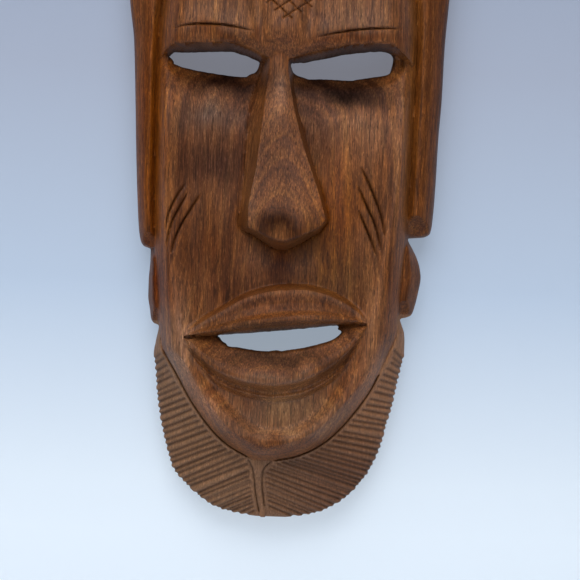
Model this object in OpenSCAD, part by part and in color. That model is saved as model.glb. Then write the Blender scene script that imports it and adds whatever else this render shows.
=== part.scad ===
// Carved wooden wall mask: one hollowed block with a screw eye and a loose
// hanging ring at the back.
// Frame: X to the right as the mask is looked at, Z up, the face looks along
// -Y and the flat back lies in the plane y = 0, against the wall. The origin
// is at the wall nail that the ring goes over. Millimetres.

/* [Mask] */
// Widest width of the carving, across the headdress
mask_w = 157; // [110:1:210]
// Height of the carving, from the crown to the tip of the beard
mask_h = 349; // [250:1:460]
// Depth from the flat back to the tip of the nose
mask_d = 48; // [40:1:60]
// Height of the wall nail above the line of the eyes
nail_h = 103; // [80:1:112]

/* [Hollow back] */
// Wall left between the hollow and the carved face
wall_t = 5; // [4:0.5:9]
// Thickness of the wood at the edges of the eyes and the mouth
edge_t = 2.5; // [2:0.5:5]
// Deepest point of the hollow, from the flat back
hollow_d = 27; // [18:1:30]

/* [Hanger] */
// Depth of the chiselled seat that the ring lies in
seat_d = 8; // [7.5:0.5:10]
// Width of the seat
seat_w = 34; // [28:1:40]
// Centreline radius of the hanging ring
ring_r = 10; // [8:0.5:11]
// Radius of the ring's wire
ring_wire_r = 1; // [0.7:0.1:1.1]
// Radius of the hole in the screw eye
eye_hole_r = 1.4; // [1.4:0.1:1.8]
// Radius of the screw eye's own wire
eye_wire_r = 1; // [0.8:0.1:1.1]
// Length of the screw eye's thread in the wood
shank_l = 12; // [8:1:15]

/* [Hidden] */

sx = mask_w / 157;
sz = mask_h / 349;
sy = mask_d / 48;

// ---- small helpers ---------------------------------------------------
function ss(a, b, t) = let (q = min(1, max(0, (t - a) / (b - a)))) q * q * (3 - 2 * q);
function mix(a, b, t) = a + (b - a) * t;
function seg_d(p, a, b) = let (
    ab = b - a, t = min(1, max(0, ((p - a) * ab) / (ab * ab)))) norm(p - a - t * ab);
function line_d(p, l) = min([for (i = [0 : len(l) - 2]) seg_d(p, l[i], l[i + 1])]);

// ---- the carver's lines ----------------------------------------------
// x to the right of the nose's axis, v down from the line of the eyes.
// Outer edge, left and right: [v, x]
OL = [[-132, -6], [-130, -26], [-125, -42], [-117, -56], [-106, -67], [-92, -74.5], [-75, -78], [-58, -79],
    [-30, -77.5], [-12, -75], [13, -73.5], [43, -72], [67, -70.5], [79, -69.5], [85, -68.5],
    [88, -67], [89.5, -63.5], [95, -63.5], [104, -64], [112, -64], [118, -63], [123.5, -62],
    [125.3, -60.5], [126, -58], [133, -59.5], [140, -60.5], [148, -59.5], [158, -58.5],
    [168, -57], [177, -55], [186, -52.5], [195, -49.5], [201, -44.5], [206, -39], [210.5, -33],
    [214, -26], [216, -17], [217, -8]];
OR = [[-132, 6], [-130, 26], [-125, 42], [-117, 56], [-106, 67], [-92, 74.5], [-75, 77.5], [-58, 78],
    [-35, 76.5], [-11, 75], [13, 74.5], [32, 73.5], [52, 73], [72, 72], [77.5, 71],
    [79, 69], [80, 60.5], [85, 63], [90, 65.5], [95, 67], [99, 67.5], [106, 66.5], [113, 65],
    [117, 63.5], [118.3, 61], [119, 58], [122, 59], [126, 60.5], [131, 61], [136, 61],
    [144, 59.5], [154, 57.5], [162, 56], [171, 53.5], [180, 51.5], [188, 48.5], [195, 45],
    [201, 40.5], [207, 34.5], [211, 28.5], [214, 22.5], [216, 14], [217, 6]];
// Edge of the face proper, from the arch over the forehead round the chin: [x, v]
FACE = [[0, -80], [-20, -77.5], [-38, -70], [-51, -58], [-58.5, -42], [-61.5, -24], [-62.5, -5],
    [-62.5, 28], [-62, 57], [-61, 82], [-60, 96], [-58.5, 112], [-57, 127], [-55, 138], [-48, 149],
    [-41, 161], [-32, 173], [-23.5, 181], [-13, 187], [-7, 188.5], [-1, 188.5], [10, 186],
    [20.5, 181], [29, 174], [37, 164.5], [43.5, 155], [48, 146], [52, 137], [56, 127],
    [56.5, 118], [57.5, 104], [59, 82], [60, 57], [60.5, 28], [61, -5], [60.5, -24],
    [58, -42], [50.5, -58], [38, -70], [20, -77.5], [0, -80]];
// Left and right halves of the same edge as [v, x], for the inside test
FLv = [for (i = [0 : 19]) [FACE[i][1], FACE[i][0]]];
FRv = [for (i = [40 : -1 : 20]) [FACE[i][1], FACE[i][0]]];
// Nose: foot and ridge of each side plane, [v, x]
NLF = [[-12, -12], [0, -13], [18, -17], [37, -18.5], [65, -20], [78, -21], [90, -19]];
NLR = [[-12, -7], [4, -7.5], [18, -9], [38, -11], [61, -12.5], [77, -15], [90, -9]];
NRR = [[-12, 0], [4, 0], [23, 2.5], [34, 7], [51, 12], [67, 17], [78, 17], [90, 10]];
NRF = [[-12, 5], [2, 3], [18, 4.5], [33, 9.5], [50, 15], [65, 19.5], [74, 21.5], [90, 18]];
NH = [[-30, 32], [-12, 32], [-4, 31.5], [6, 32], [22, 35], [45, 40], [65, 44.5], [77, 47.5],
    [82, 48], [85, 44], [88, 36], [90.5, 29], [110, 28]];
// Lips, [x, v]
UT = [[-44.5, 129], [-39.5, 122.5], [-28.5, 115], [-16, 108], [-4.5, 104.5], [0, 104], [8, 104],
    [19.5, 106], [30, 110.5], [38.5, 116.5], [40.5, 121]];
SL = [[-44.5, 130], [-28.5, 129], [-18.5, 128], [-4, 126.5], [12, 124.5], [27.5, 122.5], [40.5, 121.5]];
LC = [[-44.5, 131], [-36, 139], [-27, 145.5], [-14, 149.5], [-3, 150.5], [9, 148.5], [20.5, 143.5],
    [32.5, 134], [40.5, 123]];
LB = [[-44.5, 133.5], [-37, 142], [-25.5, 150.5], [-14, 155], [-3, 157], [9, 155], [21, 149.5],
    [32.5, 140], [40.5, 128]];
// Openings, [x, v]
EYE_L = [[-57, -3], [-54.5, -5], [-47, -5], [-38, -5.5], [-27.5, -6], [-20, -4], [-14, -2],
    [-14, 1], [-16.5, 4], [-21, 6], [-28.5, 5.5], [-38, 4.5], [-46, 3.5], [-53, 2]];
EYE_R = [[1.5, 0.5], [10, -2.5], [19, -4.5], [28, -6.5], [37, -7.5], [46.5, -8], [49.5, -6.5],
    [49.5, -1], [48, 2.5], [39.5, 4], [30.5, 5.5], [21, 5.5], [10.5, 6], [4, 4.5]];
MOUTH = [[-28.5, 129], [-18.5, 128], [-4, 126.5], [12, 124.5], [27.5, 122.5], [29.5, 126],
    [25.5, 129.5], [16.5, 132.5], [6, 135], [-4.5, 136.5], [-15, 135.5], [-24, 134], [-27.5, 131.5]];

// ---- relief, measured from the flat back -----------------------------
// Cheek, muzzle and chin along v, before the lips and the nose
BASE = [[-132, 33.5], [-20, 34], [-9, 33], [-7, 23], [4, 20.5], [12, 22], [28, 25.5], [48, 28.5],
    [80, 30], [100, 29.5], [125, 28], [150, 27.5], [165, 26], [175, 28], [189, 31]];
// Crest of the face's rim along v
RIM = [[-132, 30], [-20, 30], [-9, 27], [-4, 24], [4, 24], [14, 26], [30, 28], [60, 29], [110, 30],
    [150, 31], [189, 32]];

function in_face(x, v) = v > -80 && v < 188.5 && x > lookup(v, FLv) && x < lookup(v, FRv);
function lips(x, v, base) = x < -44 || x > 40 ? base : let (
    u = lookup(x, UT), s = lookup(x, SL), c = lookup(x, LC), b = lookup(x, LB),
    k = max(0, 1 - pow(abs(x + 2) / 44, 3)))
    v < u || v > b ? base
    : v < s ? let (t = (v - u) / (s - u)) mix(base, t < 0.55 ? mix(base + 3, 37, ss(0, 0.55, t)) : mix(37, 31, pow((t - 0.55) / 0.45, 2)), k)
    : v < c ? mix(base, mix(28, 36.5, sin(90 * (v - s) / (c - s))), k)
    : mix(base, mix(36.5, 30.5, ss(0, 1, (v - c) / (b - c))), k);
function nose(x, v) = v < -12 || v > 90 ? 0 : let (
    a = lookup(v, NLF), b = lookup(v, NLR), c = lookup(v, NRR), d = lookup(v, NRF), h = lookup(v, NH),
    base = lookup(v, BASE) - 1)
    x < a || x > d ? 0
    : x < b ? mix(min(base, h), h - 0.8, (x - a) / (b - a))
    : x > c ? mix(min(base, h), h - 0.8, (d - x) / (d - c))
    : h - 0.8 * pow(abs(2 * (x - b) / (c - b) - 1), 2);
function face(x, v, d) = let (
    dc = v < -9 ? 14 : 7 + 5 * ss(90, 140, v), rim = lookup(v, RIM),
    valley = mix(mix(17.5, 20.5, ss(128, 150, v)), 22.5, ss(-25, -60, v)),
    roll = 1 - pow(1 - min(1, d / dc), 2),
    mid = lookup(v, BASE) - 2.5 * pow(x / 55, 2),
    inner = mix(rim, mid, ss(dc * 0.8, dc + 12, d)),
    base = mix(valley, inner, roll))
    max(nose(x, v), lips(x, v, base));
// Columns, ear lobes, beard and crown, outside the face; q runs 0 at the
// outer edge to 1 at the face
function side(x, v, q, dO, dE) = let (
    e = x < 0 ? 89 : 80, f = x < 0 ? 125.5 : 118.5,
    col = 13 + 8 * sin(90 * min(1, q * 1.5)) - 4 * ss(0.75, 1, q),
    ear = 11 + 6 * ss(0, 0.7, q), beard = 8 + 11 * pow(q, 0.8),
    top = 13 + 12.5 * sin(90 * min(1, dO / 24)) - 3 * ss(6, 0, dE))
    v < -22 ? mix(col, top, ss(-22, -52, v))
    : v < e ? col - 6 * ss(e - 9, e, v)
    : v < f ? mix(11, ear, ss(e, e + 8, v)) - 3.5 * ss(f - 8, f, v)
    : mix(13, beard, ss(f - 2, f + 10, v));
function edge_d(x, v) = min(x - lookup(v, OL), lookup(v, OR) - x, v + 134, 219 - v);
function height(x, v) = let (
    dE = line_d([x, v], FACE), dO = max(0, edge_d(x, v)),
    q = dO / (dO + dE + 0.01))
    sy * (in_face(x, v) ? face(x, v, dE) : side(x, v, q, dO, dE));
// Hollow at the back, cut wider and thinner behind the eyes and the mouth
function hole_d(x, v) = min(line_d([x, v], EYE_L), line_d([x, v], EYE_R), line_d([x, v], MOUTH));
function hollow(x, v, h) = let (
    r = pow(pow(abs(x + 1) / 54, 2.8) + pow(abs(v - 74) / 110, 2.8), 1 / 2.8),
    hd = hole_d(x, v), wall = mix(edge_t, wall_t, ss(2, 9, hd)),
    b = max(min(hollow_d * ss(0, 0.26, 1 - r), h - wall), (h - wall) * (1 - ss(1, 11, hd))))
    b < 0.5 ? 0 : b;

// ---- grid: rows down the mask, columns that follow the carver's lines -
ROWS = [-132, -131, -129, -125, -119, -111, -102, -92, -84, -80, -76, -70, -64, -58, -50, -42, -34, -26,
    -19, -14, -10.5, -8, -5.5, -2, 2, 6.5, 10, 14, 21, 29, 38, 47, 56, 64, 71, 76, 78.5, 80.5, 83, 86, 88.5, 90.5, 95, 100,
    104.5, 108, 111.5, 115, 118, 121, 124, 126.5, 129, 132, 135.5, 138.5, 141.5, 144.5, 147.5,
    150.5, 153.5, 156.5, 160, 165, 170, 175, 180, 184, 187, 190, 196, 202, 207, 211, 214, 216, 217];
SPLIT = [4, 8, 1, 3, 1, 8, 4];
function keys(v) = let (
    a = lookup(v, OL), z = lookup(v, OR), w = z - a, t = ss(110, 178, v), n = 29,
    k = [a, min(max(lookup(v, FLv), a + 0.03 * w), a + 0.3 * w), max(lookup(v, NLF), a + 0.36 * w),
        max(lookup(v, NLR), a + 0.44 * w), min(lookup(v, NRR), z - 0.44 * w),
        min(lookup(v, NRF), z - 0.36 * w), max(min(lookup(v, FRv), z - 0.03 * w), z - 0.3 * w), z],
    f = [0, 4, 12, 13, 16, 17, 25, 29])
    [for (i = [0 : 7]) mix(k[i], a + w * f[i] / n, t)];
function row_x(v) = let (k = keys(v)) [for (s = [0 : 6]) for (j = [0 : SPLIT[s] - 1]) mix(k[s], k[s + 1], j / SPLIT[s]), k[7]];
function pt(x, h, v) = [x * sx, -h, -nail_h - v * sz];

module carving() {
    nr = len(ROWS);
    front = [for (v = ROWS) let (xs = row_x(v)) [for (x = xs) let (
        e = min(edge_d(x, v), x - xs[0], xs[len(xs) - 1] - x),
        h = height(x, v)) [x, v, h]]];
    nc = len(front[0]);
    pf = [for (r = front) for (p = r) pt(p[0], p[2], p[1])];
    pb = [for (r = front) for (p = r) pt(p[0], max(0, hollow(p[0], p[1], p[2])), p[1])];
    o = nr * nc;
    function id(i, j) = i * nc + j;
    ff = [for (i = [0 : nr - 2]) for (j = [0 : nc - 2])
        each [[id(i, j), id(i, j + 1), id(i + 1, j + 1)], [id(i, j), id(i + 1, j + 1), id(i + 1, j)]]];
    fb = [for (i = [0 : nr - 2]) for (j = [0 : nc - 2])
        each [[o + id(i, j), o + id(i + 1, j + 1), o + id(i, j + 1)], [o + id(i, j), o + id(i + 1, j), o + id(i + 1, j + 1)]]];
    fl = [for (i = [0 : nr - 2]) each [[id(i, 0), id(i + 1, 0), o + id(i + 1, 0)], [id(i, 0), o + id(i + 1, 0), o + id(i, 0)]]];
    fr = [for (i = [0 : nr - 2]) let (c = nc - 1)
        each [[id(i, c), o + id(i + 1, c), id(i + 1, c)], [id(i, c), o + id(i, c), o + id(i + 1, c)]]];
    ft = [for (j = [0 : nc - 2]) each [[id(0, j), o + id(0, j + 1), id(0, j + 1)], [id(0, j), o + id(0, j), o + id(0, j + 1)]]];
    fd = [for (j = [0 : nc - 2]) let (i = nr - 1)
        each [[id(i, j), id(i, j + 1), o + id(i, j + 1)], [id(i, j), o + id(i, j + 1), o + id(i, j)]]];
    polyhedron(concat(pf, pb), concat(ff, fb, fl, fr, ft, fd), convexity = 8);
}

// A through opening, drawn in x and v
module opening(pts) {
    rotate([90, 0, 0]) translate([0, 0, -10]) linear_extrude(mask_d + 20)
        polygon([for (p = pts) [p[0] * sx, -nail_h - p[1] * sz]]);
}

ring_z = -(2 * ring_r - ring_wire_r - 1); // eye centre: the raised ring meets the nail at the origin
seat_l = 4 * ring_r + 10;
eye_y = -(eye_hole_r + 2 * eye_wire_r + 0.6);

module mask_body() {
    color([0.42, 0.26, 0.17])
    resize([0, 0, 0])
    difference() {
        carving();
        opening(EYE_L);
        opening(EYE_R);
        opening(MOUTH);
        // seat for the ring, long enough for it to lie down or to point up
        rotate([90, 0, 0]) translate([0, ring_z, -1]) linear_extrude(seat_d + 1) {
            for (k = [-1, 1]) translate([0, k * (seat_l - seat_w) / 2]) circle(d = seat_w, $fn = 32);
            square([seat_w, seat_l - seat_w], center = true);
        }
    }
}

module screw_eye() {
    color([0.78, 0.62, 0.3]) {
        translate([0, eye_y, ring_z]) rotate([0, 90, 0])
            rotate_extrude($fn = 48) translate([eye_hole_r + eye_wire_r, 0]) circle(r = eye_wire_r, $fn = 24);
        translate([0, eye_y - eye_hole_r - eye_wire_r * 1.2, ring_z]) rotate([90, 0, 0])
            cylinder(h = shank_l + seat_d + eye_y + eye_hole_r + eye_wire_r * 1.2 - 3, r = 1.2, $fn = 24);
    }
}

module hanging_ring() {
    color([0.8, 0.65, 0.32])
    translate([0, eye_y, ring_z - ring_r]) rotate([90, 0, 0])
        rotate_extrude($fn = 64) translate([ring_r, 0]) circle(r = ring_wire_r, $fn = 24);
}

mask_body();
screw_eye();
hanging_ring();
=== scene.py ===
import math
import bpy
import numpy as np
from mathutils import Matrix, Vector


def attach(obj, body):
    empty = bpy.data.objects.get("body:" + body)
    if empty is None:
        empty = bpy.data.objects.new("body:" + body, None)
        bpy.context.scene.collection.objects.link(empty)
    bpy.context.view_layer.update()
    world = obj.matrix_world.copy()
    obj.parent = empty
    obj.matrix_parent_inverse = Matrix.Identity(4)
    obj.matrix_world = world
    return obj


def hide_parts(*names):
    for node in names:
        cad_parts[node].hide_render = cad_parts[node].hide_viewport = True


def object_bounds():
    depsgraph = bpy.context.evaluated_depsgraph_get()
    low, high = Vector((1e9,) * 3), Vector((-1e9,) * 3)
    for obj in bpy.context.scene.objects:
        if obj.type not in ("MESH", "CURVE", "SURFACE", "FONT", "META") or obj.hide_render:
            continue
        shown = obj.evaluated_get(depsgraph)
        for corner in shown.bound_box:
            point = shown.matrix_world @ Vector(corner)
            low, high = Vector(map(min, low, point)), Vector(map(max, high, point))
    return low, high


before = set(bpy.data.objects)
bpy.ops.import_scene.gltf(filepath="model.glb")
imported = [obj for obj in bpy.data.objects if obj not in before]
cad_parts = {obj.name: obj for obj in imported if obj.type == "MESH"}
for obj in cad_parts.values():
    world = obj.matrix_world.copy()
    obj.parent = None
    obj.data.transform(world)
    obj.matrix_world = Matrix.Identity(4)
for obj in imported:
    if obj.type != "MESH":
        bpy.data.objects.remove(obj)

cad_lo, cad_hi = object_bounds()

# ---------------------------------------------------------------- camera
cam_data = bpy.data.cameras.new("camera")
cam_data.sensor_width = 36.0
cam_data.lens = 85.5
cam_data.clip_start = 0.01
cam_data.clip_end = 10.0
cam = bpy.data.objects.new("camera", cam_data)
bpy.context.scene.collection.objects.link(cam)
cam.matrix_world = (Matrix.Translation((0.0045, -0.675, -0.2099))
                    @ Matrix.Rotation(math.radians(90), 4, "X")
                    @ Matrix.Rotation(math.radians(2.0), 4, "Z"))
bpy.context.scene.camera = cam


# ---------------------------------------------------------------- maths
def ss(a, b, t):
    q = np.clip((t - a) / (b - a), 0.0, 1.0)
    return q * q * (3 - 2 * q)


def mix(a, b, t):
    return a + (b - a) * t


def pchip(tab, q, col=(0, 1)):
    """Smooth, overshoot-free curve through a table's rows."""
    x = np.array([r[col[0]] for r in tab], float)
    y = np.array([r[col[1]] for r in tab], float)
    h = np.diff(x)
    d = np.diff(y) / h
    m = np.zeros(len(x))
    same = d[:-1] * d[1:] > 0
    w1, w2 = 2 * h[1:] + h[:-1], h[1:] + 2 * h[:-1]
    m[1:-1][same] = (w1 + w2)[same] / (w1[same] / d[:-1][same] + w2[same] / d[1:][same])
    m[0], m[-1] = d[0], d[-1]
    q = np.clip(q, x[0], x[-1])
    i = np.clip(np.searchsorted(x, q) - 1, 0, len(h) - 1)
    t = (q - x[i]) / h[i]
    return ((2 * t ** 3 - 3 * t ** 2 + 1) * y[i] + (t ** 3 - 2 * t ** 2 + t) * h[i] * m[i]
            + (-2 * t ** 3 + 3 * t ** 2) * y[i + 1] + (t ** 3 - t ** 2) * h[i] * m[i + 1])


def catmull(pts, n=6, closed=False):
    p = np.array(pts, float)
    if closed:
        p = np.vstack([p[-1], p, p[0], p[1]])
    else:
        p = np.vstack([2 * p[0] - p[1], p, 2 * p[-1] - p[-2]])
    out = []
    for i in range(1, len(p) - 2):
        a, b, c, d = p[i - 1], p[i], p[i + 1], p[i + 2]
        for k in range(n):
            t = k / n
            out.append(0.5 * ((2 * b) + (c - a) * t + (2 * a - 5 * b + 4 * c - d) * t * t
                              + (3 * b - a - 3 * c + d) * t ** 3))
    if not closed:
        out.append(p[-2])
    return np.array(out)


def line_dist(x, v, pts, reach=None, closed=False):
    """Distance to a polyline, the share of its length there, and the nearest point."""
    pts = np.asarray(pts, float)
    if closed:
        pts = np.vstack([pts, pts[:1]])
    seg = np.linalg.norm(np.diff(pts, axis=0), axis=1)
    tot = max(seg.sum(), 1e-9)
    cum = np.concatenate([[0], np.cumsum(seg)])
    best = np.full(x.shape, 1e6)
    par = np.zeros(x.shape)
    nx, nv = x.copy(), v.copy()
    if reach is None:
        idx = np.arange(x.size)
    else:
        lo, hi = pts.min(0) - reach, pts.max(0) + reach
        idx = np.nonzero((x >= lo[0]) & (x <= hi[0]) & (v >= lo[1]) & (v <= hi[1]))[0]
    if idx.size == 0:
        return best, par, nx, nv
    px, pv = x[idx], v[idx]
    b, pr, qx, qv = best[idx], par[idx], nx[idx], nv[idx]
    for i in range(len(pts) - 1):
        ax, av = pts[i]
        dx, dv = pts[i + 1] - pts[i]
        l2 = dx * dx + dv * dv
        if l2 < 1e-12:
            continue
        t = np.clip(((px - ax) * dx + (pv - av) * dv) / l2, 0, 1)
        cx, cv = ax + t * dx, av + t * dv
        d = np.hypot(px - cx, pv - cv)
        m = d < b
        b[m], pr[m], qx[m], qv[m] = d[m], ((cum[i] + t * seg[i]) / tot)[m], cx[m], cv[m]
    best[idx], par[idx], nx[idx], nv[idx] = b, pr, qx, qv
    return best, par, nx, nv


def noise(x, v, size, seed):
    """Smooth seeded value noise, -1 to 1."""
    r = np.random.default_rng(seed)
    g = r.uniform(-1, 1, (64, 64))
    sx, sv = (size, size) if np.isscalar(size) else size
    a, b = x / sx + 1000.0, v / sv + 1000.0
    i, j = np.floor(a).astype(int), np.floor(b).astype(int)
    u, w = a - i, b - j
    u, w = u * u * (3 - 2 * u), w * w * (3 - 2 * w)
    return ((g[i % 64, j % 64] * (1 - u) + g[(i + 1) % 64, j % 64] * u) * (1 - w)
            + (g[i % 64, (j + 1) % 64] * (1 - u) + g[(i + 1) % 64, (j + 1) % 64] * u) * w)


def smax(a, b, k):
    h = np.clip(0.5 + 0.5 * (a - b) / k, 0, 1)
    return b + (a - b) * h + k * h * (1 - h)


def smin(a, b, k):
    return -smax(-a, -b, k)


# ------------------------------------------------- the carver's own lines
# x to the right, v down from the line of the eyes, millimetres.
OL = [(-132, -6), (-130, -26), (-125, -42), (-117, -56), (-106, -67), (-92, -74.5), (-75, -78), (-58, -79),
      (-30, -77.5), (-12, -75), (13, -73.5), (43, -72), (67, -70.5), (79, -69.5), (85, -68.5),
      (88, -67), (89.5, -63.5), (95, -63.5), (104, -64), (112, -64), (118, -63), (123.5, -62),
      (125.3, -60.5), (126, -58), (133, -59.5), (140, -60.5), (148, -59.5), (158, -58.5),
      (168, -57), (177, -55), (186, -52.5), (195, -49.5), (201, -44.5), (206, -39), (210.5, -33),
      (214, -26), (216, -17), (217, -8)]
OR = [(-132, 6), (-130, 26), (-125, 42), (-117, 56), (-106, 67), (-92, 74.5), (-75, 77.5), (-58, 78),
      (-35, 76.5), (-11, 75), (13, 74.5), (32, 73.5), (52, 73), (72, 72), (77.5, 71),
      (79, 69), (80, 60.5), (85, 63), (90, 65.5), (95, 67), (99, 67.5), (106, 66.5), (113, 65),
      (117, 63.5), (118.3, 61), (119, 58), (122, 59), (126, 60.5), (131, 61), (136, 61),
      (144, 59.5), (154, 57.5), (162, 56), (171, 53.5), (180, 51.5), (188, 48.5), (195, 45),
      (201, 40.5), (207, 34.5), (211, 28.5), (214, 22.5), (216, 14), (217, 6)]
# Edge of the face proper: an arch over the forehead, the columns' inner
# sides, the jaw and the chin
FACE = [(0, -80), (-20, -77.5), (-38, -70), (-51, -58), (-58.5, -42), (-61.5, -24), (-62.5, -5),
        (-62.5, 28), (-62, 57), (-61, 82), (-60, 96), (-58.5, 112), (-57, 127), (-55, 138), (-48, 149),
        (-41, 161), (-32, 173), (-23.5, 181), (-13, 187), (-7, 188.5), (-1, 188.5), (10, 186),
        (20.5, 181), (29, 174), (37, 164.5), (43.5, 155), (48, 146), (52, 137), (56, 127),
        (56.5, 118), (57.5, 104), (59, 82), (60, 57), (60.5, 28), (61, -5), (60.5, -24),
        (58, -42), (50.5, -58), (38, -70), (20, -77.5)]
# Crest of the rim, from under the outer corner of one eye round the chin
CREST = [(-57.5, 6), (-56.5, 25), (-56, 50), (-55, 75), (-52.5, 95), (-49.5, 110), (-46.5, 126),
         (-45.5, 134), (-43, 144), (-36.5, 155.5), (-27.5, 165), (-16.5, 174), (-6.5, 178.5),
         (8, 177.5), (20, 171), (28, 162.5), (34.5, 152), (40, 139.5), (42.5, 126), (45.5, 109),
         (49, 86), (52.5, 60), (54.5, 35), (55, 6)]
NLF = [(-14, -13), (-6, -11), (2, -13), (18, -17), (37, -18.5), (65, -20), (78, -21), (92, -20)]
NLR = [(-14, -8.5), (4, -9), (24, -10.6), (51, -13.1), (71, -15.8), (92, -15.5)]
NRR = [(-14, 0), (4, 0.4), (15.4, 2.1), (37.6, 7.6), (51, 12.2), (67, 17.6), (76, 19.6), (92, 18)]
NRF = [(-14, 5), (-4, 2.5), (4, 2.5), (18, 4.5), (33, 9), (50, 14.5), (65, 19.5), (74, 21.5), (92, 20)]
NH = [(-30, 32), (-12, 32), (-4, 31), (6, 31.5), (22, 35), (45, 40), (65, 44.5), (76, 47.2), (80, 47.6), (92, 47)]
NB = [(-24, 74), (-21, 77.6), (-13.5, 81.3), (-9, 84), (-4.8, 86.6), (0.7, 87.9), (5.7, 86.2),
      (11.4, 82.6), (17.1, 79), (19.5, 76), (24, 71)]
# Lower edge of the brow, over each eye and down to the bridge of the nose
EB = [(-66, 2), (-61, -1.0), (-57, -4.0), (-54.4, -5.3), (-47, -5.75), (-38, -6.15), (-27.5, -6.55), (-20, -4.85),
      (-14.4, -2.7), (-12.5, -1.4), (-5, -0.8), (1.4, -0.9), (10, -3.2), (19, -5.3), (28, -7.1), (37, -8.1),
      (45.5, -8.5), (49, -7.8), (52, -6.0), (57, -2.8), (62, 1)]
UT = [(-44.5, 129.2), (-40, 126), (-34.9, 122.6), (-25.6, 117.0), (-16.3, 111.6), (-7, 108.5), (1.4, 107.1),
      (10.7, 106.7), (20, 108.1), (29.3, 111.8), (36.7, 116.4), (41, 121)]
SL = [(-44.5, 130), (-28.5, 129.2), (-18.5, 128.2), (-4, 126.6), (12, 124.7), (27.5, 122.7), (41, 121.2)]
LC = [(-44.5, 131), (-36, 139), (-27, 145.5), (-14, 149.5), (-3, 150.5), (9, 148.5), (20.5, 143.5),
      (32.5, 134), (41, 122.5)]
LB = [(-45, 133.5), (-37, 143.5), (-25.5, 152), (-14, 156), (-3, 157.5), (9, 156), (21, 150.5),
      (32.5, 140.5), (41, 127)]
EYE_L = [(-57.3, -2.2), (-56.2, -3.8), (-54.4, -4.6), (-51, -4.9), (-47, -5.1), (-43, -5.3), (-38, -5.5),
         (-33, -5.8), (-27.5, -5.9), (-25, -5.5), (-20, -4.1), (-14.4, -1.9), (-13.9, -0.5), (-14.5, 1.5),
         (-16, 3.8), (-18.5, 4.6), (-20.5, 6), (-28.5, 5.6), (-38, 4.5), (-46, 3.3), (-50, 2.6),
         (-53, 1.8), (-54.8, 0.8), (-55.4, -1)]
EYE_R = [(1.4, -0.6), (1.6, 1.8), (4, 4.2), (8, 5.4), (10.5, 6), (16, 5.7), (21, 5.8), (26, 6), (30.5, 6),
         (33, 5.4), (39.5, 4.3), (46, 3.2), (48.4, 2.2), (49, 0.3), (49.8, -3), (49.8, -5.8), (48.4, -7.2),
         (45.5, -8), (41, -8), (37, -7.6), (28, -6.6), (19, -4.7), (10, -2.6), (3.5, -1.2)]
MOUTH = [(-28.5, 129.4), (-18.5, 128.4), (-4, 126.8), (12, 124.9), (27.2, 122.9), (27.5, 124.6),
         (29.5, 125.6), (28, 127.6), (25.5, 129.4), (21, 131.2), (16.5, 132.6), (11, 134),
         (6, 134.8), (2, 135.6), (-1, 135.4), (-4.5, 136), (-10, 135.9), (-15, 135.2), (-20, 134.6),
         (-23.6, 134.4), (-24.6, 133.2), (-26.6, 132), (-27.8, 130.6)]
SCARS = [[(-46.5, 58.5), (-50, 64), (-53, 70.5), (-54.4, 76), (-55, 81)],
         [(-45, 62.5), (-48.8, 69.5), (-52, 76.5), (-53.5, 83), (-54.2, 88.5)],
         [(-39.2, 62.5), (-43, 69.3), (-47, 76.3), (-50.2, 84), (-52, 92)],
         [(36, 47.5), (40.2, 56), (43.8, 64.5), (46.4, 72), (48, 80.5)],
         [(34.8, 56.5), (39.2, 66), (43.6, 75.5), (46.6, 87)],
         [(35.5, 68), (39, 76), (42.5, 84), (44.2, 89.5)]]
BROWS = [[(-54.5, -13.5), (-47, -15), (-38, -15.6), (-29, -15.2), (-16.5, -13.2)],
         [(12.5, -11), (20, -13), (30, -15), (39, -16), (52.5, -16.6)]]
LATTICE = ([[(-0.8 + 4.35 * i - 3.98 * j, -21.2 - 3.07 * i - 3.5 * j) for j in (-0.5, 2.45)] for i in (0, 1, 2)]
           + [[(-0.8 + 4.35 * i - 3.98 * j, -21.2 - 3.07 * i - 3.5 * j) for i in (-0.55, 2.45)] for j in (0, 1, 2)])
STEM_L = [(-13, 187.5), (-10.6, 192), (-9.5, 197), (-8.6, 205), (-6.8, 214)]
STEM_R = [(-1, 188.5), (-4.4, 191.5), (-5.5, 195), (-5.5, 201.5), (-4.2, 211)]
INCISED = [(-55.5, 136.5), (-48, 149), (-41, 161), (-32, 173), (-23.5, 181), (-13, 187)]
INCISED_R = [(-1, 188.5), (10, 186), (20.5, 181), (29, 174), (37, 164.5), (43.5, 155), (48, 146)]

RIMH = [(-80, 27), (-20, 28), (-9, 27), (-4, 24), (4, 24), (14, 26), (30, 28), (60, 28.8), (110, 29.8),
        (150, 30.8), (189, 31.8)]
DISH = [(-9, 1.2), (20, 2.2), (60, 3.6), (95, 3.4), (120, 4.2), (150, 4.2), (189, 3)]


def on_curve(tab, t):
    p = catmull(tab, 8)
    s = np.concatenate([[0], np.cumsum(np.linalg.norm(np.diff(p, axis=0), axis=1))])
    q = t * s[-1]
    return np.array([np.interp(q, s, p[:, 0]), np.interp(q, s, p[:, 1])])


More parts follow.
